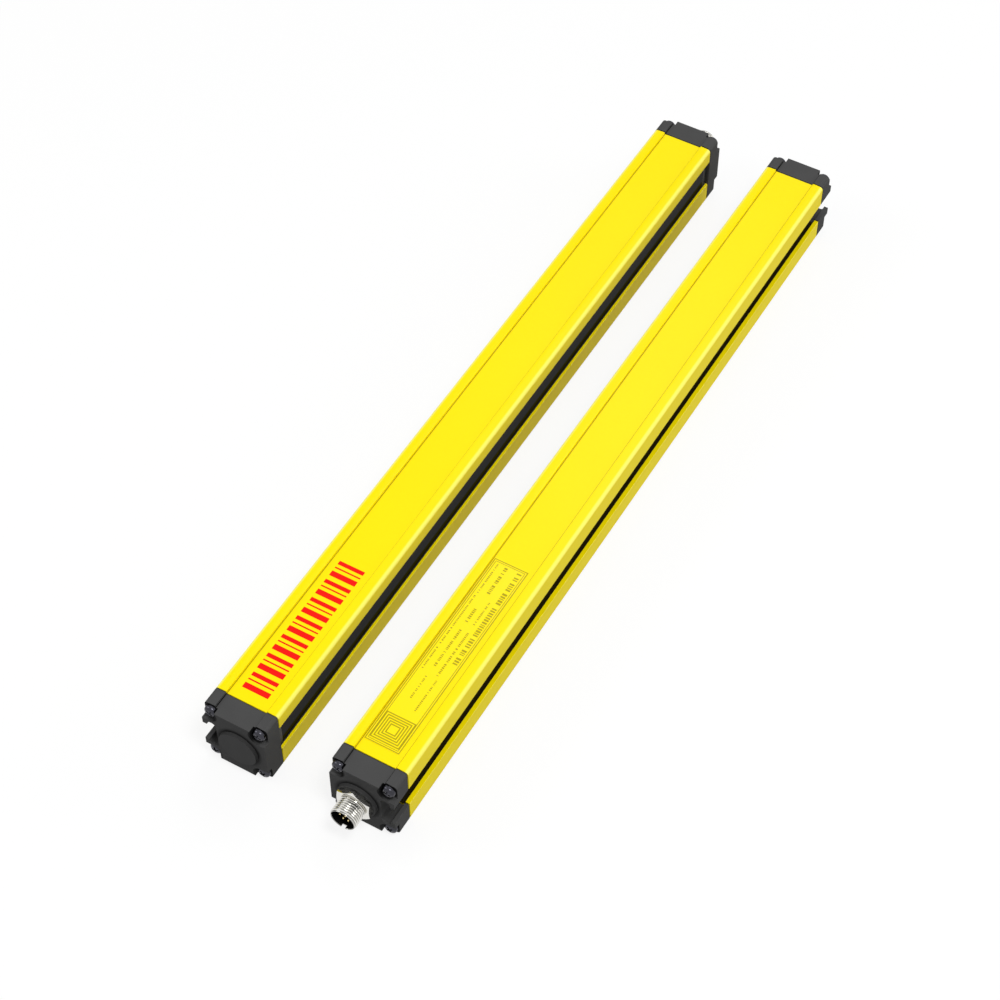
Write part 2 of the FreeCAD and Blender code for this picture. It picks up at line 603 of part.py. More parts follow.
def make_connector(unit):
    """Round connector in the cap: threaded shell, contacts, seal, nut and its board."""
    end = CONNECTOR_END
    neck, gap = cell("neck_radius"), cell("neck_gap")

    shell = new_body()
    flange = section_sketch(shell, end_y(end, FLANGE_BACK))
    polygon(flange, BOSS_X, MID_HEIGHT, cell("flange_width"), NUT_FLAT_COUNT)
    pad(shell, flange, cell("flange_height"), 1)
    collar = section_sketch(shell, end_y(end, FLANGE_FRONT))
    circle(collar, BOSS_X, MID_HEIGHT, cell("thread_radius"))
    pad(shell, collar, cell("thread_length"), 1)
    shank = section_sketch(shell, end_y(end, FLANGE_BACK))
    circle(shank, BOSS_X, MID_HEIGHT, neck)
    pad(shell, shank, cell("neck_length", "flat_seal"), -1)
    socket = section_sketch(shell, end_y(end, RIM))
    circle(socket, BOSS_X, MID_HEIGHT, cell("socket_radius"))
    pocket(shell, socket, cell("socket_depth"), -1)
    through = section_sketch(shell, end_y(end, CARRIER_FRONT))
    circle(through, BOSS_X, MID_HEIGHT, cell("carrier_radius"))
    pocket(shell, through, f"{CARRIER_FRONT} - {NECK_BACK}", -1)
    key = section_sketch(shell, end_y(end, RIM))
    half_key = f"{cell('key_width')} / 2"
    rectangle(
        key, f"{BOSS_X} - {half_key}", f"{BOSS_X} + {half_key}",
        f"{MID_HEIGHT} - {cell('thread_radius')} - 1", MID_HEIGHT,
    )
    pocket(shell, key, cell("key_depth"), -1)
    seat(shell, unit, "connector_shell")

    seal = new_body()
    washer = section_sketch(seal, end_y(end, BOSS_OUT))
    polygon(washer, BOSS_X, MID_HEIGHT, cell("seal_width"), NUT_FLAT_COUNT)
    circle(washer, BOSS_X, MID_HEIGHT, f"{neck} + {gap}")
    pad(seal, washer, cell("flat_seal"), 1)
    seat(seal, unit, "connector_seal")

    nut = new_body()
    outline = section_sketch(nut, end_y(end, NUT_FRONT))
    polygon(outline, BOSS_X, MID_HEIGHT, cell("nut_width"), NUT_FLAT_COUNT)
    circle(outline, BOSS_X, MID_HEIGHT, f"{neck} + {gap}")
    pad(nut, outline, cell("nut_thickness"), -1)
    seat(nut, unit, "connector_lock_nut")

    places = pin_places(unit)
    insert = new_body()
    disc = section_sketch(insert, end_y(end, CARRIER_FRONT))
    circle(disc, BOSS_X, MID_HEIGHT, cell("carrier_radius", "-pin_fit"))
    for x, z in places:
        polygon(disc, x, z, PIN_HOLE_WIDTH, SMALL_FLAT_COUNT)
    pad(insert, disc, f"{CARRIER_FRONT} - {NECK_BACK}", -1)
    seat(insert, unit, "connector_insert")

    board_face = f"({NECK_BACK} - {cell('round_board_gap')})"
    pin_length = f"({CARRIER_FRONT} + {cell('pin_reach')} - {board_face})"
    pins = []
    for x, z in places:
        pin = new_body()
        flats = section_sketch(pin, end_y(end, board_face))
        polygon(flats, x, z, f"(2 * {cell('pin_radius')})", SMALL_FLAT_COUNT)
        pad(pin, flats, pin_length, 1)
        pins.append(pin)
    group(unit, "connector_pins", pins)

    board = new_body()
    plate = section_sketch(board, end_y(end, board_face))
    half = f"{cell('round_board_size')} / 2"
    rectangle(
        plate, f"{BOSS_X} - {half}", f"{BOSS_X} + {half}",
        f"{MID_HEIGHT} - {half}", f"{MID_HEIGHT} + {half}",
    )
    pad(board, plate, cell("round_board_thickness"), -1)
    seat(board, unit, "connector_board")


# ---- boards and optics -----------------------------------------------------


def beam_places():
    """Y of each beam, as many as the extrusion has room for."""
    room = number(LENGTH) - number(cell("first_beam", "dead_end"))
    count = int(room // number(cell("beam_pitch"))) + 1
    return [f"({cell('first_beam')} + {index} * {cell('beam_pitch')})" for index in range(count)]


def make_electronics(unit, diode_node):
    """Main board on edge in its grooves, with diodes in front and chips behind."""
    end = cell("board_end")
    gap = cell("slide_gap")
    low = f"({CHAMBER_LOW} - {cell('board_groove')} + {gap})"
    seat_box(
        unit, "circuit_board", BOARD_BACK, end, low,
        cell("board_thickness"), f"({LENGTH} - 2 * {end})", f"({HEIGHT} - 2 * {low})",
    )
    size = cell("diode_size")
    diodes = [
        box(BOARD_FRONT, f"({y} - {size} / 2)", f"({WINDOW_MID} - {size} / 2)",
            cell("diode_height"), size, size)
        for y in beam_places()
    ]
    group(unit, diode_node, diodes)
    chips = []
    count = int(number(LENGTH) // number(cell("chip_pitch")))
    for index in range(count):
        chips.append(
            box(f"({BOARD_BACK} - {cell('chip_height')})",
                f"(({index} + 0.5) * {cell('chip_pitch')} - {cell('chip_length')} / 2)",
                f"({MID_HEIGHT} - {cell('chip_width')} / 2)",
                cell("chip_height"), cell("chip_length"), cell("chip_width"))
        )
    group(unit, "control_chips", chips)
    link_start = f"({LENGTH} - {end} - {cell('link_length')})"
    link_end = end_y(CONNECTOR_END, f"{NECK_BACK} - {cell('round_board_gap', 'round_board_thickness')}")
    seat_box(
        unit, "board_link", BOARD_FRONT, link_start, f"({MID_HEIGHT} - {cell('link_width')} / 2)",
        cell("link_thickness"), f"({link_end} - {link_start})", cell("link_width"),
    )
    across = cell("pipe_size")
    first_pipe = f"({LENGTH} - {cell('pipe_setback')} - {across} / 2)"
    pipes = [
        box(BOARD_FRONT, f"({first_pipe} - {index} * {cell('pipe_pitch')})",
            f"({WINDOW_MID} - {across} / 2)", f"({PANE_BACK} - {gap} - {BOARD_FRONT})", across, across)
        for index in range(STATUS_LIGHTS)
    ]
    group(unit, "status_light_pipes", pipes)


def make_optics(unit):
    """Light-pipe strip on the board, and a lens strip with one crowned lens per beam."""
    beams = beam_places()
    start = cell("first_beam", "-optic_margin")
    length = f"({len(beams) - 1} * {cell('beam_pitch')} + 2 * {cell('optic_margin')})"
    gap = cell("slide_gap")
    low = f"({GROOVE_LOW} + {gap})"
    height = f"({GROOVE_HIGH} - {GROOVE_LOW} - 2 * {gap})"
    mouth = f"({PANE_BACK} - {cell('lens_gap', 'lens_crown', 'lens_plate')})"
    depth = f"({mouth} - {BOARD_FRONT})"

    strip = box(BOARD_FRONT, start, low, depth, length, height)
    funnels = doc.addObject("Part::Compound", "Light_pipes")
    funnels.Links = [
        funnel(BOARD_FRONT, y, WINDOW_MID, depth, cell("throat_size"), cell("mouth_size"))
        for y in beams
    ]
    pierced = doc.addObject("Part::Cut", "Pierced_strip")
    pierced.Base = strip
    pierced.Tool = funnels
    seat(pierced, unit, "optics_carrier")

    plate = box(mouth, start, low, cell("lens_plate"), length, height)
    front = f"({mouth} + {cell('lens_plate')})"
    crown, curve, across = cell("lens_crown"), cell("lens_curve"), cell("lens_size")
    lenses = []
    for y in beams:
        drum = doc.addObject("Part::Cylinder", "Drum")
        drum.setExpression("Radius", curve)
        drum.setExpression("Height", HEIGHT)
        for axis, expression in zip("xy", (f"({front} + {crown} - {curve})", y)):
            drum.setExpression(f".Placement.Base.{axis}", expression)
        lens = doc.addObject("Part::Common", "Lens")
        lens.Base = box(
            f"({front} - {cell('lens_plate')} / 2)", f"({y} - {across} / 2)",
            f"({WINDOW_MID} - {across} / 2)", f"({crown} + {cell('lens_plate')} / 2)", across, across,
        )
        lens.Tool = drum
        lenses.append(lens)
    strip_of_lenses = doc.addObject("Part::MultiFuse", "Lens_strip")
    strip_of_lenses.Shapes = [plate, *lenses]
    seat(strip_of_lenses, unit, "lens_strip")


# ---- the two bars ----------------------------------------------------------

for unit, diodes in (("emitter", "light_sources"), ("receiver", "photodiodes")):
    make_housing(unit)
    make_window(unit)
    for end, name in ((PLAIN_END, "plain"), (CONNECTOR_END, "connector")):
        make_cap(unit, end, f"{name}_cap", bored=end is CONNECTOR_END)
    make_gaskets(unit)
    make_cap_screws(unit)
    make_connector(unit)
    make_electronics(unit, diodes)
    make_optics(unit)

# Rating label: thin film on the floor of the receiver's upper label channel.
seat_box(
    "receiver", "label", f"(({WIDTH} - {cell('label_width')}) / 2 + {cell('label_shift')})",
    f"({LENGTH} - {cell('label_setback', 'label_length')})", CHANNEL_TOP,
    cell("label_width"), cell("label_length"), cell("label_thickness"),
)

doc.recompute()
failed = [o.Label for o in doc.Objects if {"Invalid", "Error"} & set(o.State)]
if failed:
    raise RuntimeError(f"failed objects: {failed}")
for piece in pieces:
    if piece.Shape.isNull() or not piece.Shape.isValid() or not piece.Shape.Solids:
        raise RuntimeError(f"{piece.Label} has no valid solid")
os.makedirs("parts", exist_ok=True)
for piece in pieces:
    piece.Shape.exportStep(f"parts/{piece.Label}.step")
print(len(pieces), "pieces")
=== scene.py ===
import math
import random

import bmesh
import bpy
from mathutils import Matrix, Vector


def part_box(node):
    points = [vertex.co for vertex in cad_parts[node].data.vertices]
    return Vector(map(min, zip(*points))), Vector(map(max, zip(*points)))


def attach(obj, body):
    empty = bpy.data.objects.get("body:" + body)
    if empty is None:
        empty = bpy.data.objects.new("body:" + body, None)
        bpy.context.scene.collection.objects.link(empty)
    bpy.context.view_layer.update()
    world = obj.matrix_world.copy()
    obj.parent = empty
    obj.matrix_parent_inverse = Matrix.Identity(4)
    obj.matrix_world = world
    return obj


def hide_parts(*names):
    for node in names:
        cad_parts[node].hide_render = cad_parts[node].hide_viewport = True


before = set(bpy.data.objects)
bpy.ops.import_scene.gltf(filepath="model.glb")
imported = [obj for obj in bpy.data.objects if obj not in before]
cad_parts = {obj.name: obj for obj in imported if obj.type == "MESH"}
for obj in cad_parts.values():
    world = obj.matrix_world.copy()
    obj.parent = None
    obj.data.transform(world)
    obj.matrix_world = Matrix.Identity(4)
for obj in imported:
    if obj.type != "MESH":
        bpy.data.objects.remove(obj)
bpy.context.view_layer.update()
MM = 0.001


# ---- The table, the light and the camera -------------------------------------
# The pair lies on a matt white table top in a glowing white booth. A key lamp hangs
# high on the camera's side, and weaker sheen, edge and fill lamps stand around. The
# camera looks down along both bars from beyond their near ends.


def linear(colour):
    """Linear RGBA of an sRGB hex value."""
    parts = [int(colour[i : i + 2], 16) / 255 for i in (0, 2, 4)]
    return [p / 12.92 if p <= 0.04045 else ((p + 0.055) / 1.055) ** 2.4 for p in parts] + [1.0]


def add(tree, kind, settings=None, links=None):
    """Adds a node, sets its fields and sockets, and links sockets to other nodes' outputs."""
    node = tree.nodes.new(kind)
    for field, value in (settings or {}).items():
        if isinstance(field, int) or field in node.inputs:
            node.inputs[field].default_value = value
        else:
            setattr(node, field, value)
    for socket, (source, output) in (links or {}).items():
        tree.links.new(source.outputs[output], node.inputs[socket])
    return node


def blank_material(name):
    """New node material with nothing in its tree yet."""
    material = bpy.data.materials.new(name)
    material.use_nodes = True
    material.node_tree.nodes.clear()
    return material, material.node_tree


def seen_directly(tree):
    """1 where a camera, mirror or glass ray meets the surface, 0 for light on the object."""
    path = add(tree, "ShaderNodeLightPath")
    first = add(
        tree, "ShaderNodeMath", {"operation": "MAXIMUM"},
        {0: (path, "Is Camera Ray"), 1: (path, "Is Glossy Ray")},
    )
    return add(
        tree, "ShaderNodeMath", {"operation": "MAXIMUM"},
        {0: (first, 0), 1: (path, "Is Transmission Ray")},
    )


def gather(*objects):
    """Links new objects into the scene."""
    for thing in objects:
        bpy.context.scene.collection.objects.link(thing)


# Matt white laminate: flat and even, with the softest of shadows under the bars.
TABLE_REACH = 6.0
TABLE_LIFT = 0.84
laminate, tree = blank_material("matt_white_laminate")
seen = seen_directly(tree)
shade = add(
    tree, "ShaderNodeMix", {"data_type": "RGBA", 6: linear("ACACAC"), 7: linear("6C6C6C")},
    {0: (seen, 0)},
)
paint = add(tree, "ShaderNodeBsdfDiffuse", {}, {"Color": (shade, 2)})
lift = add(tree, "ShaderNodeMath", {"operation": "MULTIPLY", 1: TABLE_LIFT}, {0: (seen, 0)})
glow = add(tree, "ShaderNodeEmission", {"Color": linear("FFFFFF")}, {"Strength": (lift, 0)})
both = add(tree, "ShaderNodeAddShader", {}, {0: (paint, 0), 1: (glow, 0)})
add(tree, "ShaderNodeOutputMaterial", {}, {"Surface": (both, 0)})
table_mesh = bpy.data.meshes.new("table_top")
table_corners = [
    (x * TABLE_REACH, y * TABLE_REACH, 0.0) for x, y in ((-1, -1), (1, -1), (1, 1), (-1, 1))
]
table_mesh.from_pydata(table_corners, [], [(0, 1, 2, 3)])
table_mesh.materials.append(laminate)
table_top = bpy.data.objects.new("table_top", table_mesh)
gather(table_top)

# White booth: 1 where it is seen, a little less where it only lights.
BOOTH_GLOW = 0.36
world = bpy.data.worlds.new("white_booth")
bpy.context.scene.world = world
world.use_nodes = True
tree = world.node_tree
tree.nodes.clear()
strength = add(
    tree, "ShaderNodeMath", {"operation": "MULTIPLY_ADD", 1: 1 - BOOTH_GLOW, 2: BOOTH_GLOW},
    {0: (seen_directly(tree), 0)},
)
sky = add(tree, "ShaderNodeBackground", {"Color": linear("FFFFFF")}, {"Strength": (strength, 0)})
add(tree, "ShaderNodeOutputWorld", {}, {"Surface": (sky, 0)})


def soft_lamp(name, place, size, power):
    """Square area lamp that points at the middle of the pair."""
    data = bpy.data.lights.new(name, "AREA")
    data.shape = "SQUARE"
    data.size = size
    data.energy = power
    lamp = bpy.data.objects.new(name, data)
    lamp.location = place
    lamp.rotation_euler = (-Vector(place)).to_track_quat("-Z", "Y").to_euler()
    gather(lamp)


# Name, place, side of the square in metres, power in watts.
for name, place, size, power in (
    ("key_lamp", (0.50, -0.34, 1.28), 0.36, 10.0),
    ("sheen_lamp", (-0.15, 0.85, 1.22), 0.60, 3.8),
    ("edge_lamp", (1.05, 0.75, 0.42), 0.60, 4.0),
    ("fill_lamp", (-1.00, -0.45, 0.75), 0.60, 4.0),
):
    soft_lamp(name, place, size, power)

EYE = Vector((0.32574, -0.60015, 0.8240))
LOOKING = Vector((-0.3148, 0.5418, -0.7793)).normalized()
RIGHT_HAND = Vector((0.8653, 0.5012, -0.0010))
RIGHT_HAND = (RIGHT_HAND - LOOKING * RIGHT_HAND.dot(LOOKING)).normalized()
camera_data = bpy.data.cameras.new("camera")
camera_data.sensor_width = 36.0
camera_data.lens = 85.99
camera_data.clip_start = 0.01
camera = bpy.data.objects.new("camera", camera_data)
camera.matrix_world = Matrix.Translation(EYE) @ Matrix(
    (RIGHT_HAND, RIGHT_HAND.cross(LOOKING), -LOOKING)
).transposed().to_4x4()
gather(camera)
bpy.context.scene.camera = camera
bpy.context.scene.view_settings.view_transform = "Standard"


# ---- Housings ----------------------------------------------------------------
# Two lengths of one aluminium extrusion, with a T-slot in the back, a shallow
# channel in the top and underside, and a lipped mouth for the window. They are
# sawn to length, deburred and powder coated safety yellow.
BARS = ("emitter", "receiver")
# Which way along Y each bar's connector points.
OUTWARD = {"emitter": 1, "receiver": -1}
EXTRUSION_EDGE = 0.40 * MM
EDGE_RADIUS = 2.0 * MM
STRIP_FALL = 0.22 * MM
SLOT_LIP = 1.95 * MM
SLOT_DEPTH = 6.6 * MM
SLOT_HALF = 8.1 * MM
STRIP_WIDTH = 5.2 * MM
STRIP_SLACK = 0.1 * MM
LINE_REACH = 1.6 * MM
HIGHLIGHT_BAND = 1.5 * MM
SHARP_ANGLE = math.radians(28)


def grained(name, colour, second, grain_mm, roughness, depth_mm, metallic=0.0, ior=None, skin=None):
    """Material whose colour, gloss and height wander with a grain of this size in mm.

    A skin is the share of the surface whose gloss shows, over a matt pigmented body.
    """
    material, tree = blank_material(name)
    place = add(tree, "ShaderNodeTexCoord")
    grain = add(
        tree, "ShaderNodeTexNoise",
        {"Scale": 1 / (grain_mm * MM), "Detail": 3.0, "Roughness": 0.55},
        {"Vector": (place, "Object")},
    )
    broad = add(
        tree, "ShaderNodeTexNoise", {"Scale": 0.04 / (grain_mm * MM), "Detail": 2.0},
        {"Vector": (place, "Object")},
    )
    spread = add(
        tree, "ShaderNodeMath", {"operation": "MULTIPLY_ADD", 1: 0.5, 2: 0.0}, {0: (grain, "Fac")}
    )
    share = add(
        tree, "ShaderNodeMath", {"operation": "MULTIPLY_ADD", 1: 0.5, "use_clamp": True},
        {0: (broad, "Fac"), 2: (spread, 0)},
    )
    tint = add(
        tree, "ShaderNodeMix", {"data_type": "RGBA", 6: linear(colour), 7: linear(second)},
        {0: (share, 0)},
    )
    gloss = add(
        tree, "ShaderNodeMapRange",
        {"From Min": 0.3, "From Max": 0.7, "To Min": roughness * 0.85, "To Max": roughness * 1.15},
        {"Value": (broad, "Fac")},
    )
    relief = add(
        tree, "ShaderNodeBump", {"Distance": depth_mm * MM, "Strength": 1.0},
        {"Height": (grain, "Fac")},
    )
    surface = add(
        tree, "ShaderNodeBsdfPrincipled", {"Metallic": metallic},
        {"Base Color": (tint, 2), "Roughness": (gloss, 0), "Normal": (relief, 0)},
    )
    if ior:
        surface.inputs["IOR"].default_value = ior
    if skin is not None:
        surface.inputs["Specular IOR Level"].default_value = 0.0
        surface.inputs["Coat Weight"].default_value = skin
        surface.inputs["Coat IOR"].default_value = ior
        surface.inputs["Coat Roughness"].default_value = roughness
        tree.links.new(relief.outputs[0], surface.inputs["Coat Normal"])
    add(tree, "ShaderNodeOutputMaterial", {}, {"Surface": (surface, 0)})
    return material


# Powder coat: even gloss yellow with a fine orange peel that softens its highlights.
powder_coat = grained(
    "safety_yellow_powder_coat", "FBE600", "F4DD00", 1.6, 0.30, 0.012, ior=1.5, skin=0.25,
)
low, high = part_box("receiver_housing")
bar_middle = (low[0] + high[0]) / 2
bar_level = (low[2] + high[2]) / 2
channel_half = (high[0] - low[0]) / 2 - STRIP_WIDTH


def across_bar(tree):
    """Distance from the middle line of either bar, for each point of a surface."""
    place = add(tree, "ShaderNodeTexCoord")
    axes = add(tree, "ShaderNodeSeparateXYZ", {}, {0: (place, "Object")})
    across = add(tree, "ShaderNodeMath", {"operation": "ABSOLUTE"}, {0: (axes, "X")})
    from_middle = add(
        tree, "ShaderNodeMath", {"operation": "SUBTRACT", 1: bar_middle}, {0: (across, 0)}
    )
    return add(tree, "ShaderNodeMath", {"operation": "ABSOLUTE"}, {0: (from_middle, 0)})


def mix_painted_light(material, colour, share):
    """Mixes a colour into a material's base colour, by a share from 0 to 1; every use paints shade
    or a highlight.
    """
    tree = material.node_tree
    body = next(node for node in tree.nodes if node.bl_idname == "ShaderNodeBsdfPrincipled")
    source = body.inputs["Base Color"].links[0].from_socket
    mixed = add(tree, "ShaderNodeMix", {"data_type": "RGBA", 7: linear(colour)}, {0: share})
    tree.links.new(source, mixed.inputs[6])
    tree.links.new(mixed.outputs[2], body.inputs["Base Color"])


def paint_corner_shade(material, colour, width_mm):
    """Paints a soft line of shade in a colour along the inner corners of the channels."""
    tree = material.node_tree
    to_corner = add(
        tree, "ShaderNodeMath", {"operation": "SUBTRACT", 1: channel_half - width_mm / 2 * MM},
        {0: (across_bar(tree), 0)},
    )
    distance = add(tree, "ShaderNodeMath", {"operation": "ABSOLUTE"}, {0: (to_corner, 0)})
    corner_shade = add(
        tree, "ShaderNodeMapRange",
        {
            "From Min": width_mm * 0.3 * MM, "From Max": width_mm / 2 * MM,
            "To Min": 1.0, "To Max": 0.0,
        },
        {"Value": (distance, 0)},
    )
    place = add(tree, "ShaderNodeTexCoord")
    axes = add(tree, "ShaderNodeSeparateXYZ", {}, {0: (place, "Object")})
    from_level = add(
        tree, "ShaderNodeMath", {"operation": "SUBTRACT", 1: bar_level}, {0: (axes, "Z")}
    )
    beyond = add(tree, "ShaderNodeMath", {"operation": "ABSOLUTE"}, {0: (from_level, 0)})
    at_channel = add(
        tree, "ShaderNodeMath", {"operation": "GREATER_THAN", 1: bar_level - LINE_REACH},
        {0: (beyond, 0)},
    )
    line = add(
        tree, "ShaderNodeMath", {"operation": "MULTIPLY"}, {0: (corner_shade, 0), 1: (at_channel, 0)}
    )
    mix_painted_light(material, colour, (line, 0))


# Painted shade: a fine darker line along the inner corners of the channels, where the step shades
# the floor, and a painted highlight: a paler line along the long outer edges, where lamps catch the
# rounding.
paint_corner_shade(powder_coat, "A89200", 0.55)
tree = powder_coat.node_tree
facing = add(tree, "ShaderNodeTexCoord")
turned_to = add(tree, "ShaderNodeSeparateXYZ", {}, {0: (facing, "Normal")})
aside = add(tree, "ShaderNodeMath", {"operation": "ABSOLUTE"}, {0: (turned_to, "X")})
upward = add(tree, "ShaderNodeMath", {"operation": "ABSOLUTE"}, {0: (turned_to, "Z")})
turning = add(tree, "ShaderNodeMath", {"operation": "MINIMUM"}, {0: (aside, 0), 1: (upward, 0)})
# Painted highlight: pale yellow by how far a face turns between side and top, outside the channel.
thin = add(
    tree, "ShaderNodeMapRange", {"From Min": 0.05, "From Max": 0.45, "To Min": 0.0, "To Max": 0.75},
    {"Value": (turning, 0)},
)
outside = add(
    tree, "ShaderNodeMath", {"operation": "GREATER_THAN", 1: channel_half + HIGHLIGHT_BAND},
    {0: (across_bar(tree), 0)},
)
edge_highlight_outside = add(
    tree, "ShaderNodeMath", {"operation": "MULTIPLY"}, {0: (thin, 0), 1: (outside, 0)}
)
mix_painted_light(powder_coat, "FFFA7C", (edge_highlight_outside, 0))
# Inside of the slot: a dull, dark olive in place of the yellow coat.
slot_inside_dark = grained(
    "dark_olive_slot_inside", "2A240C", "1C1806", 0.9, 0.5, 0.006, ior=1.5, skin=0.2,
)


def welded(node):
    """Form of a CAD node with its flat faces whole, ready to be worked on."""
    form = bmesh.new()
    form.from_mesh(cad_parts[node].data)
    bmesh.ops.remove_doubles(form, verts=form.verts, dist=1e-6)
    bmesh.ops.dissolve_limit(
        form, angle_limit=math.radians(0.5), verts=form.verts, edges=form.edges
    )
    return form


def crown_strips(form, box):
    """Lets the flat strips beside the channels fall away a little towards the long edges."""
    low, high = box
    for vertex in form.verts:
        beside = min(vertex.co.x - low[0], high[0] - vertex.co.x)
        if beside < EDGE_RADIUS + STRIP_SLACK:
            share = min(1.0, max(0.0, beside) / EDGE_RADIUS)
            for face, inward in ((high[2], -1), (low[2], 1)):
                near = 1 - min(1.0, abs(vertex.co.z - face) / EDGE_RADIUS)
                vertex.co.z += inward * STRIP_FALL * share * near


def mesh_of(name, form):
    """Mesh made from a form, which is let go."""
    mesh = bpy.data.meshes.new(name)
    form.to_mesh(mesh)
    form.free()
    return mesh


def make_piece(name, form, material, slot, *replaced):
    """Turns a form into a piece of the pair that stands for the replaced nodes."""
    mesh = mesh_of(name, form)
    for face in mesh.polygons:
        face.use_smooth = True
    mesh.set_sharp_from_angle(angle=SHARP_ANGLE)
    mesh.materials.append(material)
    piece = bpy.data.objects.new(name, mesh)
    gather(piece)
    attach(piece, "root")
    if replaced:
        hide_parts(*replaced)
    return piece


def ease_edges(piece, width, segments=3):
    """Rounds every sharp edge of a piece to this width."""
    bevel = piece.modifiers.new("eased_edges", "BEVEL")
    bevel.width = width
    bevel.segments = segments
    bevel.limit_method = "ANGLE"
    bevel.angle_limit = SHARP_ANGLE
    bevel.miter_outer = "MITER_ARC"
    bevel.harden_normals = True


for bar in BARS:
    form = welded(f"{bar}_housing")
    crown_strips(form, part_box(f"{bar}_housing"))
    housing = make_piece(f"{bar}_extrusion", form, powder_coat, "yellow_coat", f"{bar}_housing")
    housing.data.materials.append(slot_inside_dark)
    low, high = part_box(f"{bar}_housing")
    for face in housing.data.polygons:
        depth = min(face.center.x - low[0], high[0] - face.center.x)
        outer = abs(face.center.x) > bar_middle
        aside = abs(face.center.z - (low[2] + high[2]) / 2)
        if outer and SLOT_LIP < depth < SLOT_DEPTH and aside < SLOT_HALF:
            face.material_index = 1
    ease_edges(housing, EXTRUSION_EDGE)


# ---- Red print on the emitter ------------------------------------------------
# A plain run of thick and thin cross strokes, screen printed in red ink on the
# floor of the upper channel.
MARK_FROM_END = 5.6 * MM
MARK_PITCH = 10.75 * MM
MARK_HALF = 6.2 * MM
MARK_BLOCKS = 7
MARK_STROKES = ((0.0, 2.7), (4.3, 0.7), (6.5, 2.0))
INK_HEIGHT = 0.03 * MM
INK_CORNER = 0.2 * MM
CHANNEL_DEPTH = 1.0 * MM

# Screen ink: flat, dense red with a satin skin.
red_ink = grained(
    "screen_printed_red_ink", "F21C12", "E8160E", 0.8, 0.45, 0.004, ior=1.5, skin=0.15,
)


def lay_slab(form, x0, x1, y0, y1, z0, z1, corner):
    """Adds a thin plate with rounded corners."""
    outline = []
    for cx, cy, start in (
        (x1 - corner, y1 - corner, 0), (x0 + corner, y1 - corner, 90),
        (x0 + corner, y0 + corner, 180), (x1 - corner, y0 + corner, 270),
    ):
        for step in range(4):
            angle = math.radians(start + 30 * step)
            outline.append((cx + corner * math.cos(angle), cy + corner * math.sin(angle)))
    low = [form.verts.new((x, y, z0)) for x, y in outline]
    high = [form.verts.new((x, y, z1)) for x, y in outline]
    form.faces.new(high)
    form.faces.new(low[::-1])
    for i in range(len(outline)):
        j = (i + 1) % len(outline)
        form.faces.new((low[i], low[j], high[j], high[i]))


low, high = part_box("emitter_housing")
channel_floor = high[2] - CHANNEL_DEPTH
middle = (low[0] + high[0]) / 2
form = bmesh.new()
for block in range(MARK_BLOCKS):
    start = low[1] + MARK_FROM_END + block * MARK_PITCH
    for offset, thickness in MARK_STROKES:
        y0 = start + offset * MM
        lay_slab(
            form, middle - MARK_HALF, middle + MARK_HALF, y0, y0 + thickness * MM,
            channel_floor, channel_floor + INK_HEIGHT, INK_CORNER,
        )
make_piece("emitter_red_mark", form, red_ink, None)


# ---- Rating label of the receiver -----------------------------------------------
# A clear polyester film on the floor of the upper channel, printed on its back
# with a double border, rows of plain ticks where ratings stand and nested squares.
LABEL_INK_HEIGHT = 0.02 * MM
LABEL_INK_CORNER = 0.08 * MM
BORDER_LINES = ((0.2, 0.45), (1.15, 0.3))
EMBLEM_SIDE = 13.6 * MM
EMBLEM_INSET = 2.0 * MM
EMBLEM_RINGS = 5
EMBLEM_LINE = 0.55 * MM
# Middle across the label, height, and reach from the far end, in mm.
ROWS = (
    (13.2, 2.2, 2.5, 20.0), (13.2, 2.2, 23.0, 55.0), (7.0, 1.5, 2.5, 19.0),
    (2.9, 0.8, 2.5, 19.0), (2.7, 0.8, 21.0, 49.0), (2.7, 0.8, 51.0, 63.0),
    (9.9, 0.8, 21.5, 34.0), (6.4, 1.3, 27.0, 34.5), (6.5, 1.1, 39.0, 59.5),
    (10.0, 1.0, 39.0, 63.0), (6.2, 0.8, 65.5, 77.5), (11.0, 0.8, 65.5, 82.0),
)
# Widths and gaps of the ticks, in mm on a row 1 mm high.
TICK_RANGE = (0.30, 0.75)
TICK_GAPS = (0.30, 0.35, 0.40, 1.1)

# Polyester film: smooth, a shade deeper than the coat it lies on.
label_film = grained(
    "clear_polyester_film", "FBE602", "F7E100", 3.0, 0.20, 0.002, ior=1.58, skin=0.30,
)
# Label ink: thin olive print that lets the yellow through.
label_ink = grained("olive_label_ink", "B4A20A", "A89608", 0.7, 0.35, 0.002, ior=1.5, skin=0.25)


def lay_frame(form, x0, x1, y0, y1, z0, z1, line):
    """Adds a rectangular outline of four thin plates."""
    corner = line / 4
    lay_slab(form, x0, x1, y0, y0 + line, z0, z1, corner)
    lay_slab(form, x0, x1, y1 - line, y1, z0, z1, corner)
    lay_slab(form, x0, x0 + line, y0 + line, y1 - line, z0, z1, corner)
    lay_slab(form, x1 - line, x1, y0 + line, y1 - line, z0, z1, corner)


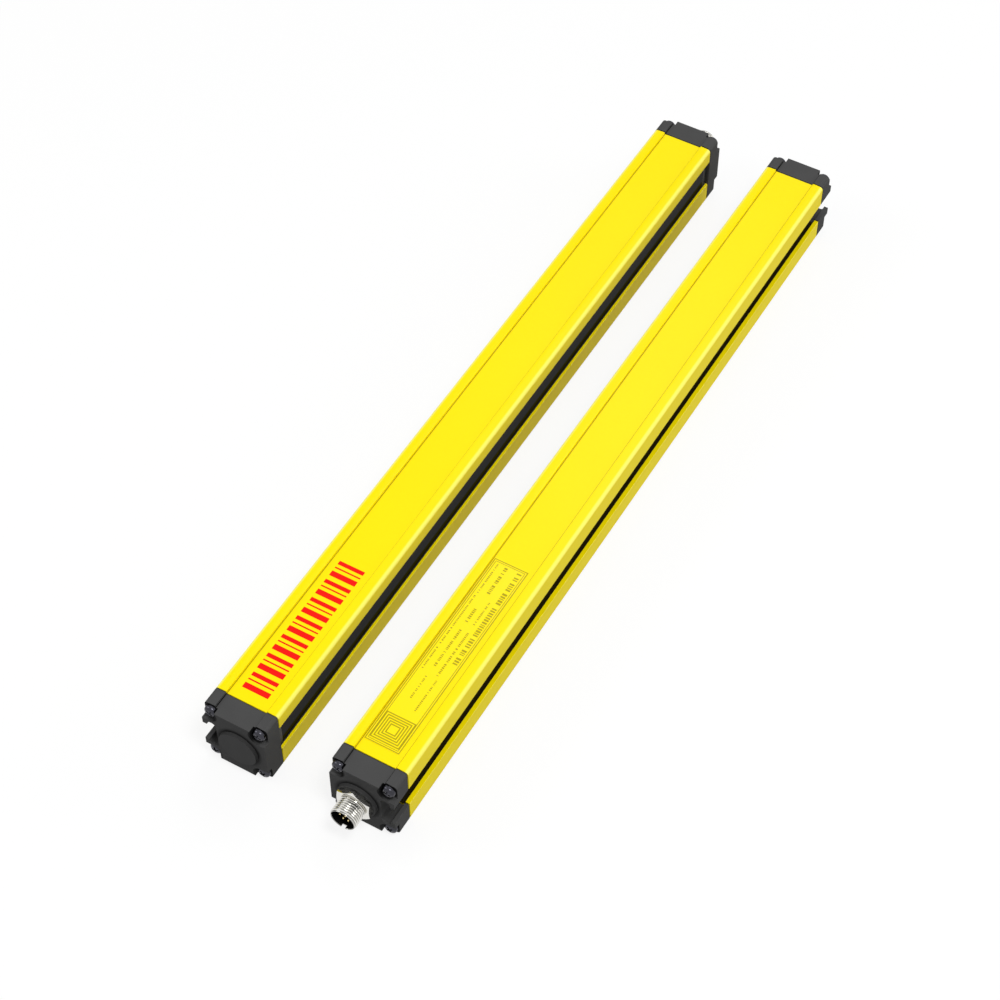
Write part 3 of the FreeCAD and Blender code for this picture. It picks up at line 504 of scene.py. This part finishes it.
make_piece(
    "receiver_label_film", welded("receiver_label"), label_film, "label_film", "receiver_label"
)
low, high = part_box("receiver_label")
top, ink_top = high[2], high[2] + LABEL_INK_HEIGHT
form = bmesh.new()
for inset, line in BORDER_LINES:
    lay_frame(
        form, low[0] + inset * MM, high[0] - inset * MM, low[1] + inset * MM, high[1] - inset * MM,
        top, ink_top, line * MM,
    )
centre = (low[0] + high[0]) / 2
emblem_start = low[1] + EMBLEM_INSET
for ring in range(EMBLEM_RINGS):
    inset = ring * 2 * EMBLEM_LINE
    lay_frame(
        form, centre - EMBLEM_SIDE / 2 + inset, centre + EMBLEM_SIDE / 2 - inset,
        emblem_start + inset, emblem_start + EMBLEM_SIDE - inset, top, ink_top, EMBLEM_LINE,
    )
label_random = random.Random(11)
for across, tall, start, end in ROWS:
    reach = start
    while reach < end:
        tick = label_random.uniform(*TICK_RANGE) * tall ** 0.5
        lay_slab(
            form, low[0] + (across - tall / 2) * MM, low[0] + (across + tall / 2) * MM,
            high[1] - (reach + tick) * MM, high[1] - reach * MM, top, ink_top, LABEL_INK_CORNER,
        )
        reach += tick + label_random.choice(TICK_GAPS) * tall ** 0.5
make_piece("receiver_label_print", form, label_ink, "label_film")


# ---- Window panes and their seals -------------------------------------------------
# Infrared-pass acrylic strips, almost black to the eye, slid in behind the lips
# of the mouth on thin rubber strips and closed by a rubber block at each end.
PANE_EDGE = 0.15 * MM

# Cast acrylic: deep, nearly black and polished, so the yellow lips mirror in it.
dark_acrylic = grained(
    "infrared_pass_acrylic", "0A0B09", "060705", 6.0, 0.08, 0.002, ior=1.49, skin=0.14,
)
# Extruded rubber: matt black with a faint drag grain.
seal_rubber = grained("extruded_seal_rubber", "1C1B16", "121210", 0.6, 0.62, 0.010, ior=1.52)


def dress(material, *nodes):
    """Gives CAD nodes that stay as they are their material."""
    for node in nodes:
        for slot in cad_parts[node].material_slots:
            slot.material = material


for bar in BARS:
    pane = make_piece(
        f"{bar}_window_pane", welded(f"{bar}_front_window"), dark_acrylic, "window_acrylic",
        f"{bar}_front_window",
    )
    ease_edges(pane, PANE_EDGE, 2)
    dress(seal_rubber, f"{bar}_window_seals", f"{bar}_window_end_seals")


# ---- End caps and gaskets -----------------------------------------------------------
# Caps injection moulded in black glass-filled nylon, with a pocket at each corner
# for a screw and a round boss on the end, on die-cut rubber gaskets.
CAP_EDGE = 0.20 * MM
HEAD_RADIUS = 2.9
POCKET_RADIUS = 4.1
POCKET_FACING = 0.5 * MM
BOSS_SHADE_RING = (8.8, 9.3, 11.2)

# Moulded nylon: a fine spark-eroded texture that turns black to a soft dark grey.
cap_nylon = grained(
    "glass_filled_nylon", "4B4B4B", "414141", 0.35, 0.40, 0.012, ior=1.53, skin=0.12,
)
# Painted shade: a near-black line along the inner corners of the caps' channels, where the step
# stands in shadow.
paint_corner_shade(cap_nylon, "060606", 0.50)


def from_axis(tree, side, across, height):
    """Arm from a line along one bar, on the side 1 or -1, to each point of a surface."""
    place = add(tree, "ShaderNodeTexCoord")
    level = add(
        tree, "ShaderNodeVectorMath", {"operation": "MULTIPLY", 1: (1, 0, 1)},
        {0: (place, "Object")},
    )
    return add(
        tree, "ShaderNodeVectorMath", {"operation": "SUBTRACT", 1: (side * across, 0, height)},
        {0: (level, 0)},
    )


def around_axis(tree, across, height):
    """Distance from the nearer of the two like lines along the bars."""
    left, right = (
        add(
            tree, "ShaderNodeVectorMath", {"operation": "LENGTH"},
            {0: (from_axis(tree, side, across, height), 0)},
        )
        for side in (-1, 1)
    )
    return add(
        tree, "ShaderNodeMath", {"operation": "MINIMUM"}, {0: (left, "Value"), 1: (right, "Value")}
    )


def screw_axes(bar):
    """Where the four screw axes cross the section of a bar."""
    low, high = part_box(f"{bar}_cap_screws")
    reach = HEAD_RADIUS * MM
    return [
        (x, z) for x in (low[0] + reach, high[0] - reach) for z in (low[2] + reach, high[2] - reach)
    ]


# Painted shade: the screw pockets and a ring around the foot of the boss are tinted darker, where
# they fall into shade.
tree = cap_nylon.node_tree
for side in (-1, 1):
    for x, z in screw_axes("receiver"):
        arm = from_axis(tree, side, x, z)
        reach = add(tree, "ShaderNodeVectorMath", {"operation": "LENGTH"}, {0: (arm, 0)})
        near = add(
            tree, "ShaderNodeMapRange",
            {
                "From Min": POCKET_RADIUS * 0.92 * MM, "From Max": POCKET_RADIUS * 1.05 * MM,
                "To Min": 0.85, "To Max": 0.0,
            },
            {"Value": (reach, "Value")},
        )
        facing = add(tree, "ShaderNodeTexCoord")
        outward = add(
            tree, "ShaderNodeVectorMath", {"operation": "DOT_PRODUCT"},
            {0: (facing, "Normal"), 1: (arm, 0)},
        )
        inside = add(
            tree, "ShaderNodeMath", {"operation": "LESS_THAN", 1: POCKET_FACING},
            {0: (outward, "Value")},
        )
        pocket_shade = add(
            tree, "ShaderNodeMath", {"operation": "MULTIPLY"}, {0: (near, 0), 1: (inside, 0)}
        )
        mix_painted_light(cap_nylon, "060606", (pocket_shade, 0))
# Painted shade: a dark ring around the foot of the boss on each end.
low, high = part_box("receiver_connector_shell")
from_boss = around_axis(tree, (low[0] + high[0]) / 2, (low[2] + high[2]) / 2)
inner = add(
    tree, "ShaderNodeMapRange",
    {"From Min": BOSS_SHADE_RING[0] * MM, "From Max": BOSS_SHADE_RING[1] * MM}, {"Value": (from_boss, 0)},
)
outer = add(
    tree, "ShaderNodeMapRange",
    {"From Min": BOSS_SHADE_RING[1] * MM, "From Max": BOSS_SHADE_RING[2] * MM, "To Min": 0.9, "To Max": 0.0},
    {"Value": (from_boss, 0)},
)
ring = add(tree, "ShaderNodeMath", {"operation": "MULTIPLY"}, {0: (inner, 0), 1: (outer, 0)})
mix_painted_light(cap_nylon, "080808", (ring, 0))
# Die-cut rubber sheet: flat, dull black.
gasket_rubber = grained("die_cut_gasket_rubber", "161616", "0E0E0E", 0.5, 0.7, 0.008, ior=1.52)

for bar in BARS:
    for end in ("plain", "connector"):
        form = welded(f"{bar}_{end}_cap")
        crown_strips(form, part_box(f"{bar}_housing"))
        cap = make_piece(f"{bar}_{end}_end_cap", form, cap_nylon, "cap_nylon", f"{bar}_{end}_cap")
        ease_edges(cap, CAP_EDGE)
    dress(gasket_rubber, f"{bar}_cap_gaskets")


# ---- Cap screws -----------------------------------------------------------------------
# Thread-forming pan heads with a cross recess, of cold-headed steel, zinc plated
# and passivated black. Four hold each cap to the ports of the extrusion.
SCREW_STEPS = 48
HEAD_HEIGHT = 2.4
SHANK_RADIUS = 1.45
SHANK_LENGTH = 14.0
THREAD_STEP = 0.9
HEAD_PROFILE = (
    (0.0, 2.40), (1.2, 2.38), (1.9, 2.24), (2.4, 1.98), (2.74, 1.62), (2.88, 1.25),
    (2.9, 0.95), (2.9, 0.25), (2.78, 0.06), (2.6, 0.0),
)
RECESS_DEPTH = 1.45
RECESS_TOP = (1.75, 0.42)
RECESS_FLOOR = (0.55, 0.28)
# Turn of each screw's recess, in degrees, as the screwdriver left it.
HEAD_TURNS = (12, 57, 33, 78, 5, 41, 66, 24)

# Black zinc: dark and metallic, with bright glints on its round edge.
black_zinc = grained("black_passivated_zinc", "48484E", "343439", 0.5, 0.26, 0.004, metallic=1.0)


def join_rings(form, rings):
    """Joins rings of vertices, a lone vertex being a pole, with faces."""
    for one, two in zip(rings, rings[1:]):
        count = max(len(one), len(two))
        for i in range(count):
            j = (i + 1) % count
            corners = [one[i % len(one)], one[j % len(one)], two[j % len(two)], two[i % len(two)]]
            corners = list(dict.fromkeys(corners))
            if len(corners) > 2:
                form.faces.new(corners)


def circle(form, radius, height, steps):
    """Ring of vertices about the Y axis, or a lone one where the radius is 0, in mm."""
    if not radius:
        return [form.verts.new((0, height * MM, 0))]
    return [
        form.verts.new((radius * MM * math.sin(a), height * MM, radius * MM * math.cos(a)))
        for a in (2 * math.pi * i / steps for i in range(steps))
    ]


def turned(profile, steps):
    """Form of a profile of (radius, height) points in mm, turned about the Y axis."""
    form = bmesh.new()
    rings = [circle(form, radius, height, steps) for radius, height in profile]
    join_rings(form, rings)
    bmesh.ops.recalc_face_normals(form, faces=form.faces)
    return form


def temporary(form):
    """Unshown object that holds a form."""
    return bpy.data.objects.new("form", mesh_of("form", form))


def carved(form, *cutters):
    """The form with the cutters' forms cut out of it."""
    body = temporary(form)
    tools = [temporary(cutter) for cutter in cutters]
    gather(body, *tools)
    for tool in tools:
        cut = body.modifiers.new("cut", "BOOLEAN")
        cut.operation = "DIFFERENCE"
        cut.solver = "EXACT"
        cut.object = tool
    solved = body.evaluated_get(bpy.context.evaluated_depsgraph_get())
    shape = bpy.data.meshes.new_from_object(solved)
    result = bmesh.new()
    result.from_mesh(shape)
    for thing in (body, *tools):
        bpy.data.objects.remove(thing)
    return result


def recess_arm(turn):
    """One tapered bar of the cross recess."""
    form = bmesh.new()
    rings = []
    for (long, wide), height in (
        (RECESS_FLOOR, HEAD_HEIGHT - RECESS_DEPTH), (RECESS_TOP, HEAD_HEIGHT + 0.05)
    ):
        if turn:
            long, wide = wide, long
        rings.append([
            form.verts.new((sx * long * MM, height * MM, sz * wide * MM))
            for sx, sz in ((1, 1), (-1, 1), (-1, -1), (1, -1))
        ])
    join_rings(form, rings)
    form.faces.new(rings[0])
    form.faces.new(rings[1][::-1])
    bmesh.ops.recalc_face_normals(form, faces=form.faces)
    return form


shank_profile = [(1.6, 0.0), (SHANK_RADIUS, -0.2)]
turn_height = -0.6
while turn_height > -SHANK_LENGTH + 2.2:
    shank_profile += [(1.15, turn_height), (SHANK_RADIUS, turn_height - THREAD_STEP / 2)]
    turn_height -= THREAD_STEP
shank_profile += [(1.1, -SHANK_LENGTH + 1.4), (0.5, -SHANK_LENGTH + 0.1), (0.0, -SHANK_LENGTH)]
screw_form = carved(
    turned([*HEAD_PROFILE, *shank_profile], SCREW_STEPS), recess_arm(False), recess_arm(True)
)
screw_shape = mesh_of("pan_head_screw", screw_form)


def add_copy(form, shape, matrix):
    """Adds a copy of a mesh to a form, moved by the matrix."""
    before = len(form.verts)
    form.from_mesh(shape)
    form.verts.ensure_lookup_table()
    bmesh.ops.transform(form, matrix=matrix, verts=form.verts[before:])


def facing_out(outward):
    """Turn that points +Y out of the end on this side, 1 or -1."""
    return Matrix.Rotation(0.0 if outward > 0 else math.pi, 4, "Z")


for bar in BARS:
    low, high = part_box(f"{bar}_cap_screws")
    form = bmesh.new()
    spots = [(x, z, outward) for outward in (-1, 1) for x, z in screw_axes(bar)]
    for (x, z, outward), turn in zip(spots, HEAD_TURNS):
        tip = high[1] if outward > 0 else low[1]
        place = Vector((x, tip - outward * HEAD_HEIGHT * MM, z))
        spin = Matrix.Rotation(math.radians(turn), 4, "Y")
        add_copy(form, screw_shape, Matrix.Translation(place) @ facing_out(outward) @ spin)
    make_piece(f"{bar}_pan_head_screws", form, black_zinc, "black_screw", f"{bar}_cap_screws")


# ---- Connector shells ---------------------------------------------------------------
# M12 device plugs: a hexagon flange and an outer thread turned and rolled from one
# piece of brass, then nickel plated. A notch in the rim codes the mating plug.
SHELL_STEPS = 72
FLANGE_FLATS = 15.0
FLANGE_HEIGHT = 2.0
FLANGE_FLAT_FACE = 7.4
FLANGE_FOOT = 0.15
FLANGE_CHAMFER = math.radians(30)
THREAD_LENGTH = 7.5
THREAD_PITCH = 1.0
THREAD_CREST = 6.0
THREAD_ROOT = 5.42
THREAD_START = 5.5
THREAD_RUNOUT = 0.7
ROWS_PER_TURN = 10
SOCKET_RADIUS = 5.2
SOCKET_DEPTH = 8.0
BORE_REACH = SOCKET_RADIUS + 0.03
KEY_WIDTH = 1.9
KEY_DEPTH = 1.5
# The notch cutter, from outside the crests to inside the bore.
KEY_SPAN = (-8.0, -3.0)
NECK_RADIUS = 5.4
NECK_LENGTH = 9.0
CARRIER_RADIUS = 4.4

# Bright nickel on turned brass: a clean mirror with faint rings from the lathe.
nickel, tree = blank_material("bright_nickel_on_turned_brass")
place = add(tree, "ShaderNodeTexCoord")
rings_of_tool = add(
    tree, "ShaderNodeTexWave",
    {"wave_type": "BANDS", "bands_direction": "Y", "Scale": 1 / (1.9 * MM), "Distortion": 0.6},
    {"Vector": (place, "Object")},
)
haze = add(
    tree, "ShaderNodeTexNoise", {"Scale": 1 / (1.5 * MM), "Detail": 3.0},
    {"Vector": (place, "Object")},
)
metal_tint = add(
    tree, "ShaderNodeMix", {"data_type": "RGBA", 6: linear("E9E8E4"), 7: linear("D8D6D0")},
    {0: (haze, "Fac")},
)
metal_gloss = add(
    tree, "ShaderNodeMapRange", {"To Min": 0.08, "To Max": 0.18}, {"Value": (haze, "Fac")}
)
tool_marks = add(
    tree, "ShaderNodeBump", {"Distance": 0.002 * MM, "Strength": 1.0},
    {"Height": (rings_of_tool, "Fac")},
)
plated = add(
    tree, "ShaderNodeBsdfPrincipled", {"Metallic": 1.0},
    {"Base Color": (metal_tint, 2), "Roughness": (metal_gloss, 0), "Normal": (tool_marks, 0)},
)
add(tree, "ShaderNodeOutputMaterial", {}, {"Surface": (plated, 0)})
# Painted shade: the roots of the thread and the corner at its foot on the flange are tinted dull
# and dark.
low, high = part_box("receiver_connector_shell")
from_thread = around_axis(tree, (low[0] + high[0]) / 2, (low[2] + high[2]) / 2)
root = add(
    tree, "ShaderNodeMapRange",
    {
        "From Min": (THREAD_ROOT + 0.10) * MM, "From Max": (THREAD_ROOT + 0.30) * MM,
        "To Min": 0.55, "To Max": 0.0,
    },
    {"Value": (from_thread, 0)},
)
mix_painted_light(nickel, "26241C", (root, 0))


def thread_radius(height):
    """Radius in mm of a rolled 60 degree thread at this many turns along."""
    phase = height % 1.0
    rise = min(phase, 1.0 - phase) * 2
    share = min(1.0, max(0.0, (rise - 0.14) / 0.66))
    return THREAD_ROOT + (THREAD_CREST - THREAD_ROOT) * share


def collar_form():
    """Tube with a helical thread outside and a smooth socket inside, base at height 0."""
    form = bmesh.new()
    step = THREAD_PITCH / ROWS_PER_TURN
    rows = int(THREAD_LENGTH / step) + 2 * ROWS_PER_TURN + 1
    columns = []
    for i in range(SHELL_STEPS):
        angle = 2 * math.pi * i / SHELL_STEPS
        column = []
        for k in range(rows + 1):
            turns = k / ROWS_PER_TURN - 1 + i / SHELL_STEPS
            height = min(THREAD_LENGTH, max(0.0, turns * THREAD_PITCH))
            fade = min(1.0, height / THREAD_RUNOUT, (THREAD_LENGTH - height) / THREAD_RUNOUT)
            radius = THREAD_START + (thread_radius(k / ROWS_PER_TURN) - THREAD_START) * fade
            column.append(form.verts.new(
                (radius * MM * math.sin(angle), height * MM, radius * MM * math.cos(angle))
            ))
        columns.append(column)
    for i in range(SHELL_STEPS):
        last = i == SHELL_STEPS - 1
        here, there = columns[i], columns[(i + 1) % SHELL_STEPS]
        shift = ROWS_PER_TURN if last else 0
        for k in range(rows - shift):
            form.faces.new((here[k], there[k + shift], there[k + 1 + shift], here[k + 1]))
    bore = (
        (THREAD_START, 0.0), (SOCKET_RADIUS, 0.0), (SOCKET_RADIUS, THREAD_LENGTH - 0.2),
        (SOCKET_RADIUS + 0.12, THREAD_LENGTH), (THREAD_START, THREAD_LENGTH),
    )
    join_rings(form, [circle(form, radius, height, SHELL_STEPS) for radius, height in bore])
    bmesh.ops.remove_doubles(form, verts=form.verts, dist=1e-7)
    bmesh.ops.dissolve_degenerate(form, edges=form.edges, dist=1e-7)
    bmesh.ops.recalc_face_normals(form, faces=form.faces)
    return form


def block_form(x0, x1, y0, y1, z0, z1):
    """Rectangular cutter, sizes in mm."""
    form = bmesh.new()
    bmesh.ops.create_cube(form, size=1.0)
    for vertex in form.verts:
        vertex.co = Vector((
            (x1 if vertex.co.x > 0 else x0) * MM, (y1 if vertex.co.y > 0 else y0) * MM,
            (z1 if vertex.co.z > 0 else z0) * MM,
        ))
    return form


def flange_form():
    """Hexagon with its corners chamfered by a cone, on the neck that passes the cap wall."""
    form = bmesh.new()
    angles = [2 * math.pi * i / SHELL_STEPS for i in range(SHELL_STEPS)]
    floor = FLANGE_HEIGHT + THREAD_LENGTH - SOCKET_DEPTH
    profiles = []
    for angle in angles:
        corner = FLANGE_FLATS / 2 / math.cos((angle + math.pi / 6) % (math.pi / 3) - math.pi / 6)
        drop = (corner - FLANGE_FLAT_FACE) * math.tan(FLANGE_CHAMFER)
        profiles.append((
            (CARRIER_RADIUS, -NECK_LENGTH), (NECK_RADIUS, -NECK_LENGTH), (NECK_RADIUS, 0.0),
            (corner - FLANGE_FOOT, 0.0), (corner, FLANGE_FOOT), (corner, FLANGE_HEIGHT - drop),
            (FLANGE_FLAT_FACE, FLANGE_HEIGHT), (SOCKET_RADIUS, FLANGE_HEIGHT),
            (SOCKET_RADIUS, floor), (CARRIER_RADIUS, floor),
        ))
    rings = [
        [
            form.verts.new((radius * MM * math.cos(a), height * MM, radius * MM * math.sin(a)))
            for (radius, height), a in zip(points, angles)
        ]
        for points in zip(*profiles)
    ]
    join_rings(form, [*rings, rings[0]])
    bmesh.ops.recalc_face_normals(form, faces=form.faces)
    return form


key_notch = block_form(
    -KEY_WIDTH / 2, KEY_WIDTH / 2, THREAD_LENGTH - KEY_DEPTH, THREAD_LENGTH + 1, *KEY_SPAN
)
collar_shape = mesh_of("threaded_collar", carved(collar_form(), key_notch))
flange_shape = mesh_of("hexagon_flange", flange_form())


def connector_place(bar):
    """Matrix that puts a connector's own axes, +Y out of the cap, on its bar."""
    low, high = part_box(f"{bar}_connector_shell")
    outward = OUTWARD[bar]
    rim = high[1] if outward > 0 else low[1]
    back = rim - outward * (FLANGE_HEIGHT + THREAD_LENGTH) * MM
    seat = Vector(((low[0] + high[0]) / 2, back, (low[2] + high[2]) / 2))
    return Matrix.Translation(seat) @ facing_out(outward)


# Socket sleeve: thin black moulding that lines the bore up to its rim.
socket_sleeve = grained(
    "moulded_socket_sleeve", "0C0C0C", "080808", 0.3, 0.5, 0.004, ior=1.53, skin=0.15,
)

for bar in BARS:
    form = bmesh.new()
    place = connector_place(bar)
    add_copy(form, flange_shape, place)
    add_copy(form, collar_shape, place @ Matrix.Translation((0, FLANGE_HEIGHT * MM, 0)))
    shell = make_piece(
        f"{bar}_threaded_shell", form, nickel, "nickel_shell", f"{bar}_connector_shell"
    )
    shell.data.materials.append(socket_sleeve)
    axis = place.translation
    for face in shell.data.polygons:
        arm = Vector((face.center.x - axis.x, 0.0, face.center.z - axis.z))
        if arm.length < BORE_REACH * MM and face.normal.dot(arm) < 0:
            face.material_index = 1


# ---- Contact carriers and pins ---------------------------------------------------------
# Black moulded carriers with gold-plated brass pins pressed in, five in the
# emitter's connector and eight in the receiver's.
PIN_COUNT = {"emitter": 5, "receiver": 8}
PIN_RADIUS = 0.5
PIN_CIRCLE = 2.75
PIN_STEPS = 24
CARRIER_EDGE = 0.12 * MM

# Carrier nylon: dense black moulding, a little smoother than the caps.
carrier_nylon = grained(
    "moulded_carrier_nylon", "101010", "0A0A0A", 0.3, 0.4, 0.006, ior=1.53, skin=0.2,
)
# Hard gold over nickel: warm, bright and slightly worn along the pin.
hard_gold = grained("hard_gold_plate", "F0DFAE", "E0CB92", 0.6, 0.16, 0.002, metallic=1.0)

for bar in BARS:
    low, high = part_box(f"{bar}_connector_pins")
    length = (high[1] - low[1]) / MM
    pin_profile = (
        (0.0, 0.0), (PIN_RADIUS, 0.0), (PIN_RADIUS, length - 0.55), (0.46, length - 0.35),
        (0.34, length - 0.14), (0.18, length - 0.03), (0.0, length),
    )
    pin_shape = mesh_of("contact_pin", turned(pin_profile, PIN_STEPS))
    outward = OUTWARD[bar]
    axis = connector_place(bar).translation
    foot = Vector((axis.x, low[1] if outward > 0 else high[1], axis.z))
    # One pin stands in the middle, and the others share a circle.
    ring = PIN_COUNT[bar] - 1
    form = bmesh.new()
    for index in range(PIN_COUNT[bar]):
        angle = math.radians(-90 + 360 / ring * (index - 0.5))
        reach = PIN_CIRCLE * MM if index else 0.0
        offset = Vector((reach * math.cos(angle), 0.0, reach * math.sin(angle)))
        add_copy(
            form, pin_shape,
            Matrix.Translation(foot) @ facing_out(outward) @ Matrix.Translation(offset),
        )
    make_piece(f"{bar}_gold_pins", form, hard_gold, "gold_contact", f"{bar}_connector_pins")
    insert = make_piece(
        f"{bar}_pin_carrier", welded(f"{bar}_connector_insert"), carrier_nylon, "insert_black",
        f"{bar}_connector_insert",
    )
    ease_edges(insert, CARRIER_EDGE, 2)


# ---- Flat seals and lock nuts of the connectors ------------------------------------------
# A hexagonal rubber washer lies under each flange, and a thin steel nut inside the
# cap clamps the connector to its wall.

# Zinc-plated steel: pale, slightly blue and satin.
nut_steel = grained("zinc_plated_steel", "B9BDC2", "A4A8AE", 0.8, 0.3, 0.004, metallic=1.0)
for bar in BARS:
    dress(seal_rubber, f"{bar}_connector_seal")
    dress(nut_steel, f"{bar}_connector_lock_nut")


# ---- Boards and optics ----------------------------------------------------------------
# Inside each extrusion: the main board on edge with its diodes, chips and plug
# strip, two status light pipes, and the moulded light-pipe and lens strips.

# Solder mask over glass laminate: green, glossy, with the weave just showing.
board_green = grained("green_solder_mask", "1E5A34", "184A2B", 0.5, 0.3, 0.004, ior=1.55)
# Diode resin: clear, faintly violet.
diode_resin = grained("infrared_diode_resin", "5A4A66", "4A3C56", 0.6, 0.12, 0.002, ior=1.54)
# Chip moulding: dull black epoxy with a ground face.
chip_epoxy = grained("moulded_chip_epoxy", "1E1E20", "161618", 0.3, 0.55, 0.006, ior=1.55)
# Light-pipe acrylic: clear and pale.
pipe_acrylic = grained("clear_pipe_acrylic", "DDE2E0", "CDD3D1", 4.0, 0.08, 0.002, ior=1.49)
# Optics carrier: black polycarbonate that keeps stray light off the lenses.
optics_black = grained("black_polycarbonate", "18181A", "101012", 0.4, 0.5, 0.006, ior=1.58)

for bar, diodes in zip(BARS, ("light_sources", "photodiodes")):
    dress(board_green, f"{bar}_circuit_board", f"{bar}_connector_board")
    dress(diode_resin, f"{bar}_{diodes}")
    dress(chip_epoxy, f"{bar}_control_chips", f"{bar}_board_link")
    dress(pipe_acrylic, f"{bar}_status_light_pipes", f"{bar}_lens_strip")
    dress(optics_black, f"{bar}_optics_carrier")
